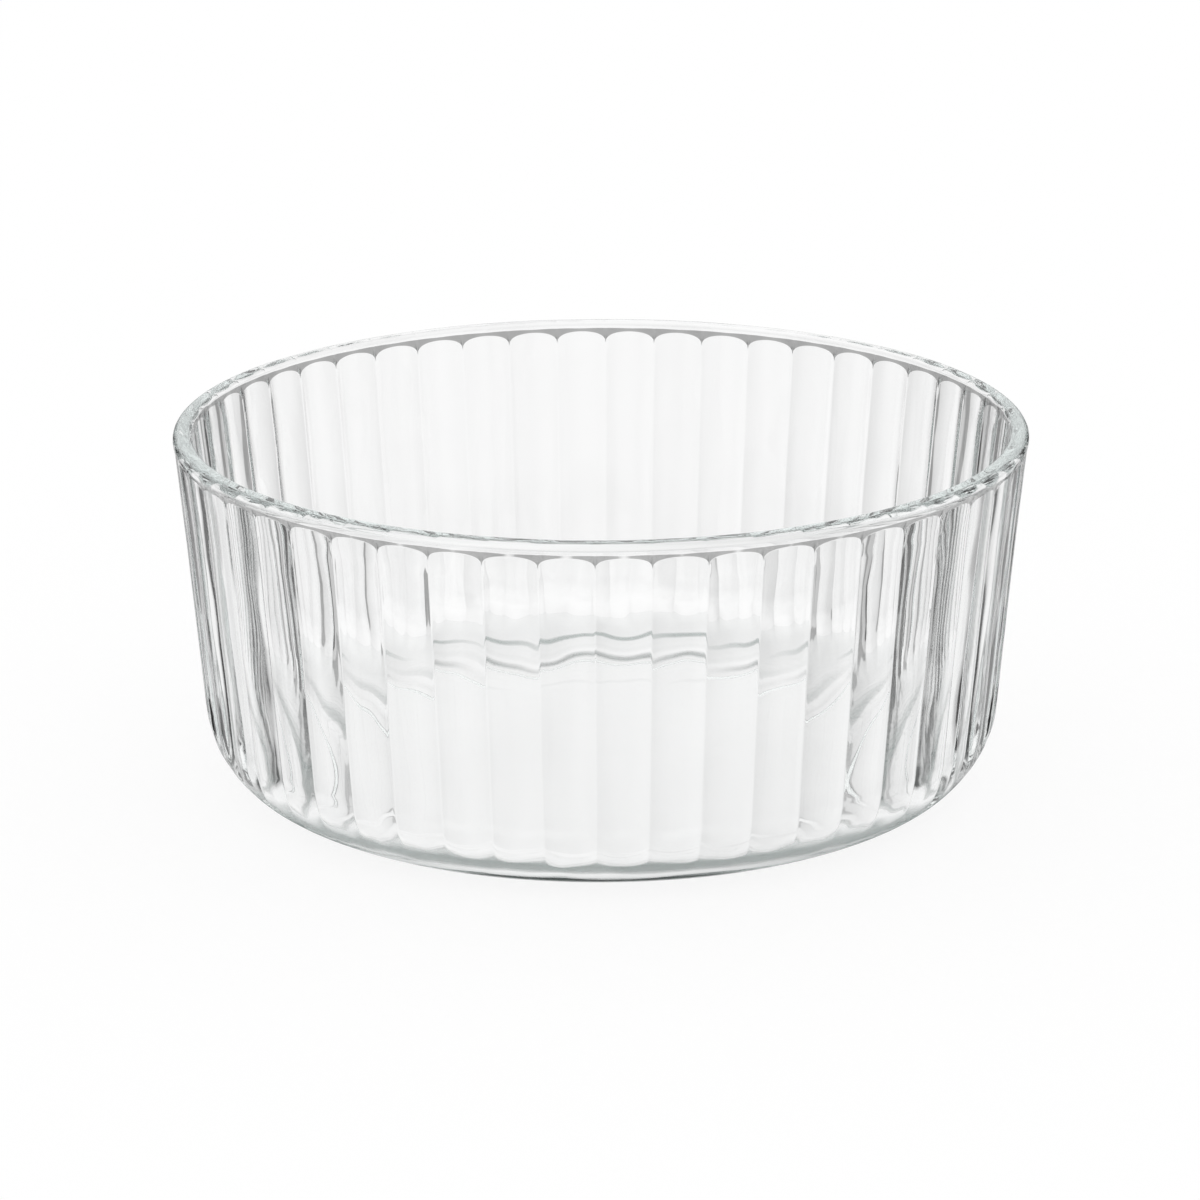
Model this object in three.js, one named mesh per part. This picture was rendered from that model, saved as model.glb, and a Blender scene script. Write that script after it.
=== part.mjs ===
// Clear pressed-glass serving bowl: one solid piece with ribbed sides and a smooth, rounded rim.
// Lengths are in millimetres and angles in degrees. +Z is up. The bowl stands on z = 0, centred on
// the Z axis, with a groove between two ribs facing -Y.
import * as THREE from "three";
import { mergeVertices } from "three/addons/utils/BufferGeometryUtils.js";

// Overall size
const RIM_DIAMETER = 200;
const HEIGHT = 86;

// Rim: a smooth band with a rounded lip
const RIM_THICKNESS = 4.7;
const LIP_OUTER_ROUND = 1.9;
const LIP_INNER_ROUND = 1.2;
const BAND_HEIGHT = 2.6;

// Walls, floor and the round between the wall and the base
const OUTER_DRAFT = 5.2;
const INNER_DRAFT = 5.9;
const CORNER_ROUND = 20.8;
const FLOOR_HEIGHT = 4.4;
const FLOOR_ROUND = 14;

// Shallow hollow under the base, inside the standing ring
const RECESS_RADIUS = 69.7;
const RECESS_DEPTH = 0.8;
const RECESS_SLOPE = 1.5;

// Rounded ribs on the outside, with a groove between each two. They fade out round the bottom corner.
const RIB_COUNT = 50;
const GROOVE_DEPTH = 0.6;
const GROOVE_FADE_ANGLE = 38;

// Arched upper ends of the ribs, and the bevel from them up to the rim band, which stands out a little
const ARCH_RISE = 2.9;
const ARCH_SQUARENESS = 2.6;
const BEVEL_HEIGHT = 0.85;
const BAND_STEP = 0.15;

// Fineness of the facets
const STEPS_PER_RIB = 4;
const CORNER_STEPS = 6;
const LIP_STEPS = 3;
const FLOOR_STEPS = 4;

const GLASS_COLOUR = 0xe3eeeb;
const GLASS_ROUGHNESS = 0.05;
const GLASS_METALNESS = 0;

const RIGHT_ANGLE = 90;
const radians = THREE.MathUtils.degToRad;
const rimRadius = RIM_DIAMETER / 2;

// A ring of the bowl's section and how it is pressed. lean is how far its surface tips from upright,
// ribbed is the share of the ribs' relief, and arch is the share of the arches' rise.
function ring(radius, height, press = {}) {
  return { radius, height, lean: 0, ribbed: 0, arch: 0, ...press };
}

// Outer wall's radius at a height, in line with the rim band.
function outerRadius(height) {
  return rimRadius - (HEIGHT - LIP_OUTER_ROUND - height) * Math.tan(radians(OUTER_DRAFT));
}

// Inner wall's radius at a height.
function innerRadius(height) {
  return rimRadius - RIM_THICKNESS - (HEIGHT - LIP_INNER_ROUND - height) * Math.tan(radians(INNER_DRAFT));
}

// Centre of a round that meets a level base and a wall leaning by draft, with the wall's radius given.
function roundCentre(base, size, draft, wallRadius) {
  const height = base + size;
  const touch = height - size * Math.sin(radians(draft));
  return { radius: wallRadius(touch) - size * Math.cos(radians(draft)), height };
}

// Angles from one to another in equal steps, both ends included.
function angles(from, to, steps) {
  return Array.from({ length: steps + 1 }, (_, step) => from + ((to - from) * step) / steps);
}

// Share of the ribs' relief left at a lean round the bottom corner.
function ribFade(lean) {
  const share = THREE.MathUtils.clamp((lean - OUTER_DRAFT) / GROOVE_FADE_ANGLE, 0, 1);
  return (1 + Math.cos(share * Math.PI)) / 2;
}

// Underside: the shallow hollow, then its slope down to the standing ring.
function baseRings() {
  return [
    ring(0, RECESS_DEPTH),
    ring(RECESS_RADIUS - RECESS_SLOPE, RECESS_DEPTH),
    ring(RECESS_RADIUS, 0),
  ];
}

// Bottom corner, from the standing ring up to the foot of the wall.
function cornerRings() {
  const centre = roundCentre(0, CORNER_ROUND, OUTER_DRAFT, outerRadius);
  return angles(RIGHT_ANGLE, OUTER_DRAFT, CORNER_STEPS).map((lean) =>
    ring(
      centre.radius + CORNER_ROUND * Math.cos(radians(lean)),
      centre.height - CORNER_ROUND * Math.sin(radians(lean)),
      { lean, ribbed: ribFade(lean) },
    ),
  );
}

// A ring of the straight outer wall at a height.
function wallRing(height, press = {}) {
  return ring(outerRadius(height), height, { lean: OUTER_DRAFT, ...press });
}

// Arched upper ends of the ribs, and the foot of the rim band above the bevel.
function archRings() {
  const bandFoot = HEIGHT - BAND_HEIGHT;
  return [wallRing(bandFoot - BEVEL_HEIGHT, { ribbed: 1, arch: 1 }), wallRing(bandFoot)];
}

// Rounded lip, from the outside over the flat top to the inside.
function lipRings() {
  const outer = angles(0, RIGHT_ANGLE, LIP_STEPS).map((turn) =>
    ring(
      rimRadius - LIP_OUTER_ROUND + LIP_OUTER_ROUND * Math.cos(radians(turn)),
      HEIGHT - LIP_OUTER_ROUND + LIP_OUTER_ROUND * Math.sin(radians(turn)),
    ),
  );
  const inner = angles(RIGHT_ANGLE, 2 * RIGHT_ANGLE, LIP_STEPS).map((turn) =>
    ring(
      rimRadius - RIM_THICKNESS + LIP_INNER_ROUND + LIP_INNER_ROUND * Math.cos(radians(turn)),
      HEIGHT - LIP_INNER_ROUND + LIP_INNER_ROUND * Math.sin(radians(turn)),
    ),
  );
  return [...outer, ...inner];
}

// Inside: the round at the foot of the wall and the flat floor.
function floorRings() {
  const centre = roundCentre(FLOOR_HEIGHT, FLOOR_ROUND, INNER_DRAFT, innerRadius);
  const round = angles(INNER_DRAFT, RIGHT_ANGLE, FLOOR_STEPS).map((lean) =>
    ring(
      centre.radius + FLOOR_ROUND * Math.cos(radians(lean)),
      centre.height - FLOOR_ROUND * Math.sin(radians(lean)),
    ),
  );
  return [...round, ring(0, FLOOR_HEIGHT)];
}

// Presses the ribs into a turned bowl: each vertex moves in by the depth there, and the rings at the
// ribs' upper ends are drawn down towards the grooves in a squared arch.
function pressRibs(geometry, rings) {
  const position = geometry.getAttribute("position");
  const columns = RIB_COUNT * STEPS_PER_RIB;
  for (let index = 0; index < position.count; index += 1) {
    const column = Math.floor(index / rings.length);
    const { radius, height, lean, ribbed, arch } = rings[index % rings.length];
    const across = (2 * (column % STEPS_PER_RIB)) / STEPS_PER_RIB - 1;
    const crown = (1 - Math.abs(across) ** ARCH_SQUARENESS) ** (1 / ARCH_SQUARENESS);
    const depth = ribbed * (BAND_STEP + GROOVE_DEPTH * across ** 2);
    const drop = arch * ARCH_RISE * (1 - crown);
    const reach = radius - drop * Math.tan(radians(OUTER_DRAFT)) - depth * Math.cos(radians(lean));
    const rise = height - drop + depth * Math.sin(radians(lean));
    const turn = (2 * Math.PI * column) / columns;
    position.setXYZ(index, reach * Math.sin(turn), rise, reach * Math.cos(turn));
  }
}

// The whole bowl as one closed body, turned from its section and ribbed.
function bowlGeometry() {
  const rings = [...baseRings(), ...cornerRings(), ...archRings(), ...lipRings(), ...floorRings()];
  const section = rings.map(({ radius, height }) => new THREE.Vector2(radius, height));
  const turned = new THREE.LatheGeometry(section, RIB_COUNT * STEPS_PER_RIB);
  pressRibs(turned, rings);
  turned.deleteAttribute("normal");
  turned.deleteAttribute("uv");
  turned.rotateX(radians(RIGHT_ANGLE));
  return mergeVertices(turned);
}

const glass = new THREE.MeshStandardMaterial({
  color: GLASS_COLOUR,
  roughness: GLASS_ROUGHNESS,
  metalness: GLASS_METALNESS,
});

const bowl = new THREE.Mesh(bowlGeometry(), glass);
bowl.name = "bowl";

const object = new THREE.Group();
object.add(bowl);

export default object;
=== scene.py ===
"""Dresses the clear pressed-glass bowl: ribbed wall, smooth rim, glass finish, studio and camera."""

import logging
import math
from dataclasses import dataclass, field
from enum import Enum

import bmesh
import bpy
from mathutils import Matrix, Vector
from mathutils.kdtree import KDTree


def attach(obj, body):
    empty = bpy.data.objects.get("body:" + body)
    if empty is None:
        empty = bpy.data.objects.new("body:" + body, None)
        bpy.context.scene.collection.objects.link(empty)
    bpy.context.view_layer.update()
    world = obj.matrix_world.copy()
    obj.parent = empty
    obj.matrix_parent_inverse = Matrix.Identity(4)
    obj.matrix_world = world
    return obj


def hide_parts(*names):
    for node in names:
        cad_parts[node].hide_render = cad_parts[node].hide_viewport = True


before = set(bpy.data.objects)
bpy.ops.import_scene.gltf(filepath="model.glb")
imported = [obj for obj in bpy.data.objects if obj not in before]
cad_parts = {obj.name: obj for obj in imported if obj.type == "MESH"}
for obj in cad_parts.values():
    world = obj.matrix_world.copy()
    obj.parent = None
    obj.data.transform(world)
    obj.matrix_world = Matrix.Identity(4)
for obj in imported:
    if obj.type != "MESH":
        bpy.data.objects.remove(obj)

LOG = logging.getLogger("glass_bowl")
MM = 0.001
RIGHT_ANGLE = 90.0
ORIGIN = (0.0, 0.0, 0.0)
UP_AXIS = (0.0, 0.0, 1.0)
GLASS_BOUNCES = 40
SPARE_BOUNCES = 8

Span = tuple[float, float]
Stops = tuple[Span, ...]
Colour = tuple[float, float, float]
Value = float | bpy.types.NodeSocket
Places = list[tuple[int, float]]


class Zone(Enum):
    """Part of the section that a row of points belongs to."""

    BASE = "base"
    OUTSIDE = "outside"
    INSIDE = "inside"


@dataclass(frozen=True)
class Row:
    """One point of the bowl's section, in millimetres.

    ribbed is the share of the ribs' relief there, and fall is the share of the arches' fall.
    """

    radius: float
    height: float
    zone: Zone = Zone.BASE
    ribbed: float = 0.0
    fall: float = 0.0


def ease(share: float) -> float:
    """Returns a share from 0 to 1 with a soft start and a soft end."""
    share = min(max(share, 0.0), 1.0)
    return share * share * (3.0 - 2.0 * share)


def shares(steps: int, first: int = 0) -> list[float]:
    """Returns the shares from first / steps to 1 in equal steps."""
    return [step / steps for step in range(first, steps + 1)]


@dataclass(frozen=True)
class ClearGlass:
    """Finish of fire-polished clear glass, faintly green where it is thick."""

    name: str = "clear_pressed_glass"
    ior: float = 1.5
    tint: Colour = (0.5, 0.8, 0.75)
    tint_density: float = 0.8
    polish: Span = (0.0, 0.012)
    ripple_scale: float = 70.0
    ripple_detail: float = 1.0
    ripple_range: Span = (0.4, 0.8)
    ripple_strength: float = 0.02

    def make(self) -> bpy.types.Material:
        """Builds the node material.

        Returns:
            The glass, with a faint ripple left by the mould and slight changes of polish.
        """
        glass = bpy.data.materials.new(self.name)
        glass.use_nodes = True
        nodes = glass.node_tree.nodes
        links = glass.node_tree.links
        shader = nodes["Principled BSDF"]
        shader.inputs["Base Color"].default_value = (1.0, 1.0, 1.0, 1.0)
        shader.inputs["IOR"].default_value = self.ior
        shader.inputs["Transmission Weight"].default_value = 1.0
        place = nodes.new("ShaderNodeTexCoord")
        ripple = nodes.new("ShaderNodeTexNoise")
        ripple.inputs["Scale"].default_value = self.ripple_scale
        ripple.inputs["Detail"].default_value = self.ripple_detail
        links.new(place.outputs["Object"], ripple.inputs["Vector"])
        bump = nodes.new("ShaderNodeBump")
        bump.inputs["Strength"].default_value = self.ripple_strength
        bump.inputs["Distance"].default_value = MM
        links.new(ripple.outputs["Fac"], bump.inputs["Height"])
        links.new(bump.outputs["Normal"], shader.inputs["Normal"])
        polish = nodes.new("ShaderNodeMapRange")
        polish.inputs["From Min"].default_value = self.ripple_range[0]
        polish.inputs["From Max"].default_value = self.ripple_range[1]
        polish.inputs["To Min"].default_value = self.polish[0]
        polish.inputs["To Max"].default_value = self.polish[1]
        links.new(ripple.outputs["Fac"], polish.inputs["Value"])
        links.new(polish.outputs["Result"], shader.inputs["Roughness"])
        depth = nodes.new("ShaderNodeVolumeAbsorption")
        depth.inputs["Color"].default_value = (*self.tint, 1.0)
        depth.inputs["Density"].default_value = self.tint_density
        links.new(depth.outputs["Volume"], nodes["Material Output"].inputs["Volume"])
        return glass


@dataclass
class Bowl:
    """The bowl: one closed body of glass, modelled as one rib and copied round the axis.

    Lengths are in millimetres and angles in degrees.
    """

    # Overall size, rim and lip
    rim_radius: float = 100.0
    height: float = 86.0
    rim_thickness: float = 4.7
    lip_outer_round: float = 1.9
    lip_inner_round: float = 1.2

    # Walls, bottom corner and floor
    outer_draft: float = 5.2
    inner_draft: float = 5.9
    corner_round: float = 20.8
    floor_height: float = 4.4
    floor_round: float = 14.0

    # Hollow under the base and the standing ring round it
    recess_radius: float = 69.7
    recess_depth: float = 0.8
    recess_slope: float = 1.5
    ring_ledge: float = 0.5

    # Ribs, measured across at a radius a little inside the rim's, and the grooves between them
    rib_count: int = 50
    rib_inset: float = 3.0
    rib_crown: float = 0.58
    groove_cut: float = 0.03
    groove_sharpness: float = 12.0
    groove_round: float = 0.06
    fade_start: float = 4.0
    fade_angle: float = 34.0

    # Arched upper ends of the ribs, and the bevel from them up to the rim band
    band_height: float = 2.6
    band_proud: float = 0.15
    bevel_height: float = 0.85
    arch_rise: float = 2.9
    arch_lead: float = 3.0
    arch_squareness: float = 2.6
    edge_round: float = 0.14

    # Waviness of both walls, and where it eases off at the floor, the foot and the rim band
    wave_outside: float = 0.5
    wave_inside: float = 0.65
    wave_length: float = 17.0
    wave_detail: int = 2
    wave_floor_edge: float = 76.0
    wave_floor_ease: float = 10.0
    wave_foot: float = 1.0
    wave_foot_ease: float = 7.0
    wave_band_share: float = 0.35
    wave_band_ease: float = 12.0

    # Fineness of the mesh: steps along each stretch of the section and across a rib
    recess_marks: tuple[float, ...] = (0.0, 0.5, 0.95, 0.993)
    recess_steps: int = 7
    corner_steps: int = 30
    wall_steps: int = 7
    lead_steps: int = 4
    bevel_steps: int = 5
    lip_steps: int = 8
    inner_steps: int = 13
    floor_steps: int = 15
    floor_marks: tuple[float, ...] = (0.9, 0.7, 0.4, 0.0)
    rib_steps: int = 16
    groove_closeness: float = 1.6
    weld: float = 0.005

    glass: ClearGlass = field(default_factory=ClearGlass)

    def outer_radius(self, height: float) -> float:
        """Returns the outer wall's radius at a height, in line with the rim band."""
        fall = self.height - self.lip_outer_round - height
        return self.rim_radius - fall * math.tan(math.radians(self.outer_draft))

    def inner_radius(self, height: float) -> float:
        """Returns the inner wall's radius at a height."""
        fall = self.height - self.lip_inner_round - height
        return self.rim_radius - self.rim_thickness - fall * math.tan(math.radians(self.inner_draft))

    def wall_foot(self) -> float:
        """Returns the height at which the bottom corner meets the straight outer wall."""
        return self.corner_round * (1.0 - math.sin(math.radians(self.outer_draft)))

    def band_foot(self) -> float:
        """Returns the height of the rim band's lower edge."""
        return self.height - self.band_height

    def arch_top(self) -> float:
        """Returns the height of the tops of the ribs' arches."""
        return self.band_foot() - self.bevel_height

    def wall_top(self) -> float:
        """Returns the height above which the wall's rows lead into the arches."""
        return self.arch_top() - self.arch_rise - self.arch_lead

    def wall_row(self, height: float, fall: float = 0.0) -> Row:
        """Returns a row of the straight outer wall."""
        return Row(self.outer_radius(height), height, Zone.OUTSIDE, 1.0, fall)

    def base_rows(self) -> list[Row]:
        """Returns the underside: the shallow hollow, its sloped edge and the standing ring."""
        edge = self.recess_radius - self.recess_slope
        rows = [Row(edge * part, self.recess_depth) for part in self.recess_marks]
        for part in shares(self.recess_steps):
            rows.append(Row(edge + self.recess_slope * part, self.recess_depth * (1.0 - ease(part))))
        rows.append(Row(self.recess_radius + self.ring_ledge, 0.0))
        return rows

    def corner_rows(self) -> list[Row]:
        """Returns the bottom corner, on which the ribs fade in, and the straight wall above it."""
        draft = math.radians(self.outer_draft)
        foot = self.wall_foot()
        centre = self.outer_radius(foot) - self.corner_round * math.cos(draft)
        rows = []
        for part in shares(self.corner_steps):
            lean = RIGHT_ANGLE + (self.outer_draft - RIGHT_ANGLE) * part
            turn = math.radians(lean)
            faded = min(max((lean - self.outer_draft - self.fade_start) / self.fade_angle, 0.0), 1.0)
            rows.append(
                Row(
                    centre + self.corner_round * math.cos(turn),
                    self.corner_round * (1.0 - math.sin(turn)),
                    Zone.OUTSIDE,
                    (1.0 + math.cos(faded * math.pi)) / 2.0,
                )
            )
        for part in shares(self.wall_steps, 1):
            rows.append(self.wall_row(foot + (self.wall_top() - foot) * part))
        return rows

    def arch_rows(self) -> list[Row]:
        """Returns the rows round the arched upper ends of the ribs, up to the rim band."""
        lead = self.wall_top()
        top = self.arch_top()
        band = self.band_foot()
        edge = self.edge_round
        start = top + 2.0 * edge
        end = band - 2.0 * edge
        rows = []
        for part in shares(self.lead_steps, 1)[:-1]:
            rows.append(self.wall_row(lead + (top - edge - lead) * part, part))
        for step in range(-2, 3):
            rows.append(self.wall_row(top + edge * step, 1.0))
        for part in shares(self.bevel_steps, 1):
            rows.append(self.wall_row(start + (end - start) * part, 1.0 - part))
        for step in range(-1, 3):
            rows.append(self.wall_row(band + edge * step))
        return rows

    def lip_quarter(self, centre: float, size: float, start: float) -> list[Row]:
        """Returns a quarter round of the lip, given its centre's radius, its size and its first angle."""
        rows = []
        for part in shares(self.lip_steps):
            turn = math.radians(start + RIGHT_ANGLE * part)
            reach = centre + size * math.cos(turn)
            rows.append(Row(reach, self.height - size + size * math.sin(turn), Zone.OUTSIDE))
        return rows

    def lip_rows(self) -> list[Row]:
        """Returns the rounded lip, from the outside over the flat top to the inside."""
        outer = self.rim_radius - self.lip_outer_round
        inner = self.rim_radius - self.rim_thickness + self.lip_inner_round
        return [
            *self.lip_quarter(outer, self.lip_outer_round, 0.0),
            *self.lip_quarter(inner, self.lip_inner_round, RIGHT_ANGLE),
        ]

    def inside_rows(self) -> list[Row]:
        """Returns the inner wall, the round at its foot and the floor."""
        draft = math.radians(self.inner_draft)
        wall_top = self.height - self.lip_inner_round
        centre_height = self.floor_height + self.floor_round
        foot = centre_height - self.floor_round * math.sin(draft)
        centre = self.inner_radius(foot) - self.floor_round * math.cos(draft)
        rows = []
        for part in shares(self.inner_steps, 1)[:-1]:
            height = wall_top + (foot - wall_top) * part
            rows.append(Row(self.inner_radius(height), height, Zone.INSIDE))
        for part in shares(self.floor_steps):
            turn = draft + (math.pi / 2.0 - draft) * part
            reach = centre + self.floor_round * math.cos(turn)
            rows.append(Row(reach, centre_height - self.floor_round * math.sin(turn), Zone.INSIDE))
        for part in self.floor_marks:
            rows.append(Row(centre * part, self.floor_height, Zone.INSIDE))
        return rows

    def section(self) -> list[Row]:
        """Returns the whole section, from the axis underneath round to the axis inside."""
        return [
            *self.base_rows(),
            *self.corner_rows(),
            *self.arch_rows(),
            *self.lip_rows(),
            *self.inside_rows(),
        ]

    def columns(self) -> list[float]:
        """Returns places across one rib, from -1 at one groove to 1 at the next, close at the grooves."""
        places = []
        for step in range(self.rib_steps + 1):
            even = 2.0 * step / self.rib_steps - 1.0
            places.append(math.copysign(1.0 - (1.0 - abs(even)) ** self.groove_closeness, even))
        return places

    def angle(self, across: float) -> float:
        """Returns the angle round the axis of a place across the first rib, from the -Y line."""
        return (across + 1.0) * math.pi / self.rib_count

    def groove(self, across: float) -> float:
        """Returns how deep the surface lies below a rib's crest at a place across it."""
        width = 2.0 * math.pi * (self.rim_radius - self.rib_inset) / self.rib_count
        away = (1.0 - abs(across)) * width / 2.0
        rounded = math.hypot(away, self.groove_round) - self.groove_round
        out = 1.0 - 2.0 * rounded / width
        return self.rib_crown * out**2 + self.groove_cut * out**self.groove_sharpness

    def arch_fall(self, across: float) -> float:
        """Returns how far an arch has fallen from its top at a place across a rib."""
        out = min(abs(across), 1.0)
        return self.arch_rise * (1.0 - (1.0 - out**self.arch_squareness) ** (1.0 / self.arch_squareness))

    def press_depth(self, row: Row, across: float) -> float:
        """Returns how far a point is pressed in from the rim band's surface.

        Args:
            row: The point's row.
            across: Its place across the rib.

        Returns:
            The depth: that of the rib below the arch, and falling evenly to none at the rim band above it.
        """
        rib = (self.band_proud + self.groove(across)) * row.ribbed
        fall = self.arch_fall(across)
        height = row.height - fall * row.fall
        arch = self.arch_top() - fall
        if row.ribbed < 1.0 or height <= arch:
            return rib
        return rib * max(1.0 - (height - arch) / (self.band_foot() - arch), 0.0)

    def wave_share(self, row: Row) -> float:
        """Returns the share of the waviness on a row.

        Args:
            row: The row.

        Returns:
            None under the base and on the floor's middle, all on the walls, and less at the rim band.
        """
        if row.zone is Zone.BASE:
            return 0.0
        if row.zone is Zone.INSIDE:
            return ease((row.radius - self.wave_floor_edge) / self.wave_floor_ease)
        below = ease((self.band_foot() - row.height) / self.wave_band_ease)
        above = ease((row.height - self.wave_foot) / self.wave_foot_ease)
        return min(above, self.wave_band_share + (1.0 - self.wave_band_share) * below)

    def draw_section(self, rows: list[Row]) -> bpy.types.Object:
        """Draws the section as a chain of edges in the plane of a groove.

        Args:
            rows: The section's points in order.

        Returns:
            The new object, in edit mode, with its whole chain selected.
        """
        bpy.ops.object.select_all(action="DESELECT")
        bpy.ops.mesh.primitive_plane_add(size=MM, location=ORIGIN)
        piece = bpy.context.object
        piece.name = "bowl_glass"
        bpy.ops.object.mode_set(mode="EDIT")
        bpy.ops.mesh.merge(type="CENTER")
        here = Vector(ORIGIN)
        for index, row in enumerate(rows):
            there = Vector((0.0, -row.radius * MM, row.height * MM))
            if index == 0:
                bpy.ops.transform.translate(value=there - here)
            else:
                bpy.ops.mesh.extrude_vertices_move(TRANSFORM_OT_translate={"value": there - here})
            here = there
        bpy.ops.mesh.select_all(action="SELECT")
        return piece

    def spin_rib(self) -> None:
        """Spins the selected section over the width of one rib, with close columns at the grooves."""
        places = self.columns()
        for place, following in zip(places, places[1:]):
            width = self.angle(following) - self.angle(place)
            bpy.ops.mesh.spin(steps=1, angle=width, center=ORIGIN, axis=UP_AXIS)

    def places(self, piece: bpy.types.Object, rows: list[Row]) -> Places:
        """Finds where each vertex of the plain rib lies.

        Args:
            piece: The spun rib in edit mode, before it is pressed.
            rows: The section's points.

        Returns:
            For each vertex, the number of its row and its place across the rib.
        """
        tree = KDTree(len(rows))
        for index, row in enumerate(rows):
            tree.insert((row.radius, row.height, 0.0), index)
        tree.balance()
        columns = self.columns()
        found = []
        for vertex in bmesh.from_edit_mesh(piece.data).verts:
            reach = math.hypot(vertex.co.x, vertex.co.y)
            _, index, _ = tree.find((reach / MM, vertex.co.z / MM, 0.0))
            turn = abs(math.atan2(vertex.co.x, -vertex.co.y))
            across = min(columns, key=lambda place: abs(self.angle(place) - turn))
            found.append((index, across))
        return found

    def drop_arches(self, piece: bpy.types.Object, rows: list[Row], where: Places) -> None:
        """Slides the rows round the ribs' upper ends down the wall into arches.

        Args:
            piece: The spun rib in edit mode.
            rows: The section's points.
            where: Row and place across the rib of each vertex.
        """
        groups: dict[tuple[float, float], list[int]] = {}
        for number, (index, across) in enumerate(where):
            fall = rows[index].fall * self.arch_fall(across)
            if fall > 0.0:
                groups.setdefault((across, fall), []).append(number)
        slope = math.tan(math.radians(self.outer_draft))
        for (_, fall), numbers in groups.items():
            bpy.ops.mesh.select_all(action="DESELECT")
            body = bmesh.from_edit_mesh(piece.data)
            body.verts.ensure_lookup_table()
            for number in numbers:
                body.verts[number].select = True
            inward = -body.verts[numbers[0]].co.copy()
            inward.z = 0.0
            bmesh.update_edit_mesh(piece.data)
            drop = fall * MM
            slide = inward.normalized() * drop * slope + Vector((0.0, 0.0, -drop))
            bpy.ops.transform.translate(value=slide)

    def face_outwards(self, piece: bpy.types.Object) -> None:
        """Turns the rib's faces so that the outer wall's faces point away from the axis."""
        middle = self.height * MM / 2.0

        def standing_out(face: bmesh.types.BMFace) -> float:
            """Returns how near a face lies to the middle of the outer wall."""
            centre = face.calc_center_median()
            return centre.xy.length - abs(centre.z - middle)

        wall = max(bmesh.from_edit_mesh(piece.data).faces, key=standing_out)
        if wall.normal.xy.dot(wall.calc_center_median().xy) < 0.0:
            bpy.ops.mesh.select_all(action="SELECT")
            bpy.ops.mesh.flip_normals()

    def press(self, piece: bpy.types.Object, rows: list[Row], where: Places) -> None:
        """Presses the rib, its grooves and its arch into the smooth wall, and marks where it is wavy.

        Args:
            piece: The spun rib in object mode.
            rows: The section's points.
            where: Row and place across the rib of each vertex.
        """
        deepest = self.band_proud + self.rib_crown + self.groove_cut
        pressed = piece.vertex_groups.new(name="pressed")
        outside = piece.vertex_groups.new(name="wavy_outside")
        inside = piece.vertex_groups.new(name="wavy_inside")
        for number, (index, across) in enumerate(where):
            row = rows[index]
            pressed.add([number], self.press_depth(row, across) / deepest, "REPLACE")
            wavy = inside if row.zone is Zone.INSIDE else outside
            wavy.add([number], self.wave_share(row), "REPLACE")
        pressing = piece.modifiers.new("pressed_ribs", "DISPLACE")
        pressing.vertex_group = pressed.name
        pressing.mid_level = 0.0
        pressing.strength = -deepest * MM
        bpy.ops.object.modifier_apply(modifier=pressing.name)

    def repeat(self) -> None:
        """Copies the rib round the axis and closes the seams and the two poles."""
        copies = self.rib_count - 1
        bpy.ops.object.mode_set(mode="EDIT")
        bpy.ops.mesh.select_all(action="SELECT")
        bpy.ops.mesh.spin(
            steps=copies,
            dupli=True,
            angle=2.0 * math.pi * copies / self.rib_count,
            center=ORIGIN,
            axis=UP_AXIS,
        )
        bpy.ops.mesh.select_all(action="SELECT")
        bpy.ops.mesh.remove_doubles(threshold=self.weld * MM)
        bpy.ops.mesh.normals_make_consistent(inside=False)
        bpy.ops.object.mode_set(mode="OBJECT")

    def wave(self, piece: bpy.types.Object) -> None:
        """Gives both walls the slow, uneven waviness of pressed glass, on the outside only inwards."""
        for side, strength, middle, basis in (
            ("outside", self.wave_outside, 1.0, "BLENDER_ORIGINAL"),
            ("inside", self.wave_inside, 0.5, "IMPROVED_PERLIN"),
        ):
            ripple = bpy.data.textures.new(f"ripple_{side}", "CLOUDS")
            ripple.noise_basis = basis
            ripple.noise_scale = self.wave_length * MM
            ripple.noise_depth = self.wave_detail
            wave = piece.modifiers.new(f"wavy_{side}", "DISPLACE")
            wave.vertex_group = f"wavy_{side}"
            wave.texture = ripple
            wave.texture_coords = "LOCAL"
            wave.mid_level = middle
            wave.strength = strength * MM
            bpy.ops.object.modifier_apply(modifier=wave.name)
        piece.vertex_groups.clear()

    def build(self) -> bpy.types.Object:
        """Models and dresses the bowl.

        Returns:
            The finished piece, riding on the part's body in place of the plain solid.
        """
        rows = self.section()
        piece = self.draw_section(rows)
        self.spin_rib()
        where = self.places(piece, rows)
        self.drop_arches(piece, rows, where)
        self.face_outwards(piece)
        bpy.ops.object.mode_set(mode="OBJECT")
        self.press(piece, rows, where)
        self.repeat()
        self.wave(piece)
        bpy.ops.object.shade_smooth()
        piece.data.name = piece.name
        piece.data.materials.append(self.glass.make())
        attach(piece, "root")
        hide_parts("bowl")
        return piece


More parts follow.
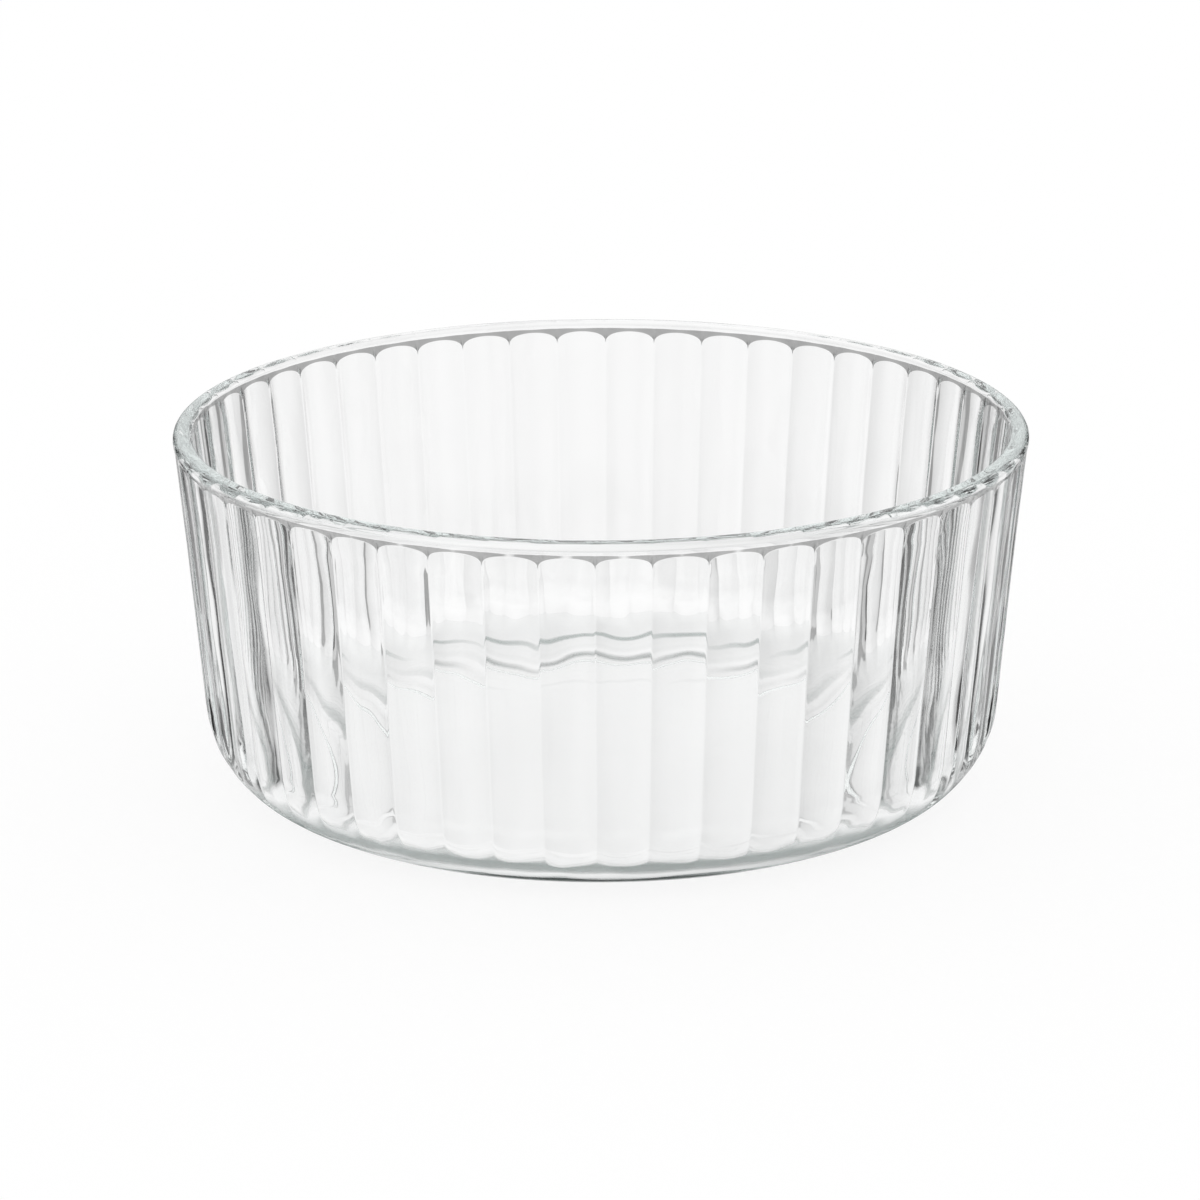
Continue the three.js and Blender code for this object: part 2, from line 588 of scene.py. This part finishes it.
class NodeSums:
    """Adds sums and ramps of levels to a node tree."""

    def __init__(self, tree: bpy.types.NodeTree) -> None:
        """Empties the tree and keeps it."""
        self.nodes = tree.nodes
        self.links = tree.links
        self.nodes.clear()

    def sum(self, operation: str, first: Value, second: Value | None = None) -> bpy.types.NodeSocket:
        """Adds a Math node.

        Args:
            operation: The node's operation.
            first: Its first value, a number or a socket.
            second: Its second value, where the operation takes one.

        Returns:
            The result's socket.
        """
        node = self.nodes.new("ShaderNodeMath")
        node.operation = operation
        for socket, value in zip(node.inputs, (first, second)):
            if isinstance(value, bpy.types.NodeSocket):
                self.links.new(value, socket)
            elif value is not None:
                socket.default_value = value
        return node.outputs["Value"]

    def level(self, value: bpy.types.NodeSocket, span: Span, stops: Stops) -> bpy.types.NodeSocket:
        """Adds a ramp of levels.

        Args:
            value: What the level depends on.
            span: Values at the ramp's start and end.
            stops: Values between the two, each with its level.

        Returns:
            The level's socket.
        """
        start, end = span
        share = self.sum("DIVIDE", self.sum("SUBTRACT", value, start), end - start)
        node = self.nodes.new("ShaderNodeValToRGB")
        self.links.new(share, node.inputs["Fac"])
        marks = node.color_ramp.elements
        marks.remove(marks[0])
        for index, (at, level) in enumerate(stops):
            place = (at - start) / (end - start)
            mark = marks[0] if index == 0 else marks.new(place)
            mark.position = place
            mark.color = (level, level, level, 1.0)
        return node.outputs["Color"]

    def axes(self, space: str) -> bpy.types.Node:
        """Adds texture coordinates and returns the node that parts them into X, Y and Z."""
        place = self.nodes.new("ShaderNodeTexCoord")
        axes = self.nodes.new("ShaderNodeSeparateXYZ")
        self.links.new(place.outputs[space], axes.inputs["Vector"])
        return axes


@dataclass
class Studio:
    """White table and a ring of upright soft lights, with grey gaps that only the glass shows.

    Lengths are in millimetres and angles in degrees.
    """

    # Table
    table_radius: float = 6000.0
    table_drop: float = 0.2
    table_glow: float = 0.85
    disc_sides: int = 128

    # Shade on the table: how dark it is by the distance from the axis, and by the angle from +Y
    shade_radius: float = 120.0
    shade_drop: float = 0.1
    shade_colour: Colour = (0.18, 0.26, 0.24)
    under: float = 0.07
    foot: Stops = ((78.5, 0.0), (80.5, 0.7), (83.5, 0.78), (86.0, 0.45), (90.0, 0.1), (96.0, 0.0))
    foot_ends: Stops = ((30.0, 0.15), (100.0, 1.0))
    lines: Stops = (
        (55.0, 0.0),
        (58.0, 0.16),
        (61.0, 0.0),
        (71.5, 0.0),
        (73.5, 0.7),
        (75.5, 0.55),
        (78.0, 0.0),
        (91.5, 0.0),
        (93.5, 0.6),
        (95.5, 0.6),
        (97.5, 0.0),
    )
    line_ends: Stops = ((12.0, 1.0), (40.0, 0.0))

    # Lights and gaps round the bowl: they mirror about the middle of each quarter, a little turned
    quarter: float = 90.0
    turned: float = -1.5
    ring: Stops = (
        (4.0, 1.0),
        (7.0, 0.975),
        (9.5, 0.93),
        (12.0, 0.86),
        (14.2, 0.78),
        (14.8, 0.36),
        (17.0, 0.34),
        (17.6, 0.65),
        (20.2, 0.6),
        (21.2, 0.05),
        (31.0, 0.05),
        (32.0, 0.5),
        (33.5, 0.62),
        (35.0, 0.8),
        (37.0, 1.0),
    )

    # By the height of the view: level of the light, how far the gaps fade, and depth of the slant
    tiers: Stops = (
        (-34.0, 1.0),
        (-28.0, 0.95),
        (-20.0, 0.9),
        (-16.0, 1.0),
        (-11.5, 1.0),
        (-10.5, 0.45),
        (-3.0, 0.36),
        (2.0, 0.7),
        (5.0, 1.0),
    )
    fade: Stops = ((-29.0, 0.95), (-24.0, 0.0), (4.0, 0.0), (12.0, 1.0))
    slant_depth: Stops = ((-22.0, 1.0), (-16.0, 0.15))

    # Slant: how much darker the light is across a quarter
    slant: Stops = ((40.0, 0.0), (52.0, 0.13), (60.0, 0.13), (80.0, 0.0))

    def disc(self, name: str, radius: float, drop: float) -> bpy.types.Object:
        """Adds a flat disc under the bowl.

        Args:
            name: The disc's name.
            radius: Its radius.
            drop: How far it lies below the bowl's foot.

        Returns:
            The disc.
        """
        bpy.ops.object.select_all(action="DESELECT")
        bpy.ops.mesh.primitive_circle_add(
            vertices=self.disc_sides,
            radius=radius * MM,
            fill_type="NGON",
            location=(0.0, 0.0, -drop * MM),
        )
        disc = bpy.context.object
        disc.name = name
        return disc

    def table(self) -> bpy.types.Object:
        """Lays the table.

        Returns:
            A white disc that takes the bowl's shadow. Rays that have been through the glass pass it.
        """
        table = self.disc("table", self.table_radius, self.table_drop)
        white = bpy.data.materials.new("white_table")
        white.use_nodes = True
        sums = NodeSums(white.node_tree)
        grey = 1.0 - self.table_glow
        matt = sums.nodes.new("ShaderNodeBsdfDiffuse")
        matt.inputs["Color"].default_value = (grey, grey, grey, 1.0)
        glow = sums.nodes.new("ShaderNodeEmission")
        glow.inputs["Strength"].default_value = self.table_glow
        both = sums.nodes.new("ShaderNodeAddShader")
        sums.links.new(matt.outputs["BSDF"], both.inputs[0])
        sums.links.new(glow.outputs["Emission"], both.inputs[1])
        output = sums.nodes.new("ShaderNodeOutputMaterial")
        sums.links.new(both.outputs["Shader"], output.inputs["Surface"])
        table.data.materials.append(white)
        table.visible_transmission = False
        table.visible_glossy = False
        return table

    def shade_share(self, sums: NodeSums) -> bpy.types.NodeSocket:
        """Works out how dark the shade on the table is.

        Args:
            sums: The sums of the shade's material.

        Returns:
            The share of shade: a ring at the bowl's foot, lines on the far side and a little all over.
        """
        axes = sums.axes("Object")
        across, along = axes.outputs["X"], axes.outputs["Y"]
        square = sums.sum("ADD", sums.sum("MULTIPLY", across, across), sums.sum("MULTIPLY", along, along))
        reach = sums.sum("DIVIDE", sums.sum("SQRT", square), MM)
        turn = sums.sum("ABSOLUTE", sums.sum("DEGREES", sums.sum("ARCTAN2", across, along)))
        out = (0.0, self.shade_radius)
        half_turn = (0.0, 2.0 * RIGHT_ANGLE)
        lines = sums.level(reach, out, self.lines)
        lines = sums.sum("MULTIPLY", lines, sums.level(turn, half_turn, self.line_ends))
        foot = sums.level(reach, out, self.foot)
        foot = sums.sum("MULTIPLY", foot, sums.level(turn, half_turn, self.foot_ends))
        return sums.sum("MAXIMUM", sums.sum("MAXIMUM", lines, foot), self.under)

    def contact_shade(self) -> bpy.types.Object:
        """Lays the soft dark ring and lines on the table that show through the glass.

        Returns:
            A disc on the table, clear but for the shade.
        """
        disc = self.disc("contact_shade", self.shade_radius, self.shade_drop)
        dark = bpy.data.materials.new("contact_shade")
        dark.use_nodes = True
        sums = NodeSums(dark.node_tree)
        clear = sums.nodes.new("ShaderNodeBsdfTransparent")
        matt = sums.nodes.new("ShaderNodeBsdfDiffuse")
        matt.inputs["Color"].default_value = (*self.shade_colour, 1.0)
        both = sums.nodes.new("ShaderNodeMixShader")
        sums.links.new(self.shade_share(sums), both.inputs["Fac"])
        sums.links.new(clear.outputs["BSDF"], both.inputs[1])
        sums.links.new(matt.outputs["BSDF"], both.inputs[2])
        output = sums.nodes.new("ShaderNodeOutputMaterial")
        sums.links.new(both.outputs["Shader"], output.inputs["Surface"])
        disc.data.materials.append(dark)
        disc.visible_camera = False
        disc.visible_diffuse = False
        disc.visible_shadow = False
        return disc

    def light_level(self, sums: NodeSums) -> bpy.types.NodeSocket:
        """Works out the light that the glass sees in a direction.

        Args:
            sums: The sums of the world.

        Returns:
            The level, from 1 on a light down to the greys of the gaps between the lights.
        """
        axes = sums.axes("Generated")
        turn = sums.sum("DEGREES", sums.sum("ARCTAN2", axes.outputs["X"], axes.outputs["Y"]))
        tilt = sums.sum("DEGREES", sums.sum("ARCSINE", axes.outputs["Z"]))
        tilts = (-RIGHT_ANGLE, RIGHT_ANGLE)
        half = self.quarter / 2.0
        mirrored = sums.sum("PINGPONG", sums.sum("SUBTRACT", turn, self.turned), half)
        around = sums.level(mirrored, (0.0, half), self.ring)
        steep = sums.level(tilt, tilts, self.fade)
        upright = sums.level(tilt, tilts, self.tiers)
        across = sums.sum("FLOORED_MODULO", sums.sum("ADD", turn, half), self.quarter)
        slant = sums.level(across, (0.0, self.quarter), self.slant)
        slanted = sums.sum("MULTIPLY", slant, sums.level(tilt, tilts, self.slant_depth))
        lit = sums.sum("MULTIPLY", sums.sum("MAXIMUM", around, steep), upright)
        return sums.sum("MULTIPLY", lit, sums.sum("SUBTRACT", 1.0, slanted))

    def lights(self) -> bpy.types.World:
        """Builds the ring of soft lights as the world.

        Returns:
            A white world, in which rays from the glass see grey gaps between the lights.
        """
        world = bpy.data.worlds.new("soft_light_ring")
        bpy.context.scene.world = world
        world.use_nodes = True
        sums = NodeSums(world.node_tree)
        dark = sums.sum("SUBTRACT", 1.0, self.light_level(sums))
        path = sums.nodes.new("ShaderNodeLightPath")
        by_glass = sums.sum("MAXIMUM", path.outputs["Is Transmission Ray"], path.outputs["Is Glossy Ray"])
        white = sums.sum("SUBTRACT", 1.0, sums.sum("MULTIPLY", dark, by_glass))
        background = sums.nodes.new("ShaderNodeBackground")
        sums.links.new(white, background.inputs["Color"])
        output = sums.nodes.new("ShaderNodeOutputWorld")
        sums.links.new(background.outputs["Background"], output.inputs["Surface"])
        return world

    def build(self) -> None:
        """Lays the table and its shade, and sets the lights."""
        self.table()
        self.contact_shade()
        self.lights()


@dataclass
class PhotoCamera:
    """Camera at the photograph's viewing angle, for a square picture.

    Angles are in degrees, lengths in metres, and the lens and sensor in millimetres.
    """

    azimuth: float = 0.785
    elevation: float = 17.354
    roll: float = -0.214
    distance: float = 1.1886
    target_height: float = 0.04231
    target_side: float = -0.000325
    lens: float = 150.849
    sensor: float = 36.0

    def build(self) -> bpy.types.Object:
        """Makes the camera the scene's own.

        Returns:
            The camera.
        """
        turn = math.radians(self.azimuth)
        tilt = math.radians(self.elevation)
        roll = math.radians(self.roll)
        level = Vector((math.cos(turn), math.sin(turn), 0.0))
        back = Vector((math.sin(turn) * math.cos(tilt), -math.cos(turn) * math.cos(tilt), math.sin(tilt)))
        rise = back.cross(level)
        right = level * math.cos(roll) + rise * math.sin(roll)
        up = rise * math.cos(roll) - level * math.sin(roll)
        target = Vector((0.0, 0.0, self.target_height)) + level * self.target_side
        lens = bpy.data.cameras.new("photo_camera")
        lens.sensor_fit = "HORIZONTAL"
        lens.sensor_width = self.sensor
        lens.lens = self.lens
        camera = bpy.data.objects.new("photo_camera", lens)
        bpy.context.collection.objects.link(camera)
        camera.matrix_world = Matrix((right, up, back)).transposed().to_4x4()
        camera.location = target + back * self.distance
        bpy.context.scene.camera = camera
        return camera


def set_light_paths() -> None:
    """Lets light take enough turns inside the thick glass, so that the rim stays bright."""
    cycles = bpy.context.scene.cycles
    cycles.max_bounces = GLASS_BOUNCES + SPARE_BOUNCES
    cycles.glossy_bounces = GLASS_BOUNCES
    cycles.transmission_bounces = GLASS_BOUNCES


def main() -> None:
    """Builds the bowl, the studio and the camera."""
    logging.basicConfig(level=logging.INFO, format="%(name)s: %(message)s")
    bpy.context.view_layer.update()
    bpy.context.scene.view_settings.view_transform = "Standard"
    set_light_paths()
    bowl = Bowl().build()
    LOG.info("%s: %d vertices, %d faces", bowl.name, len(bowl.data.vertices), len(bowl.data.polygons))
    Studio().build()
    LOG.info("studio set")
    PhotoCamera().build()
    LOG.info("camera set")


if __name__ == "__main__":
    main()
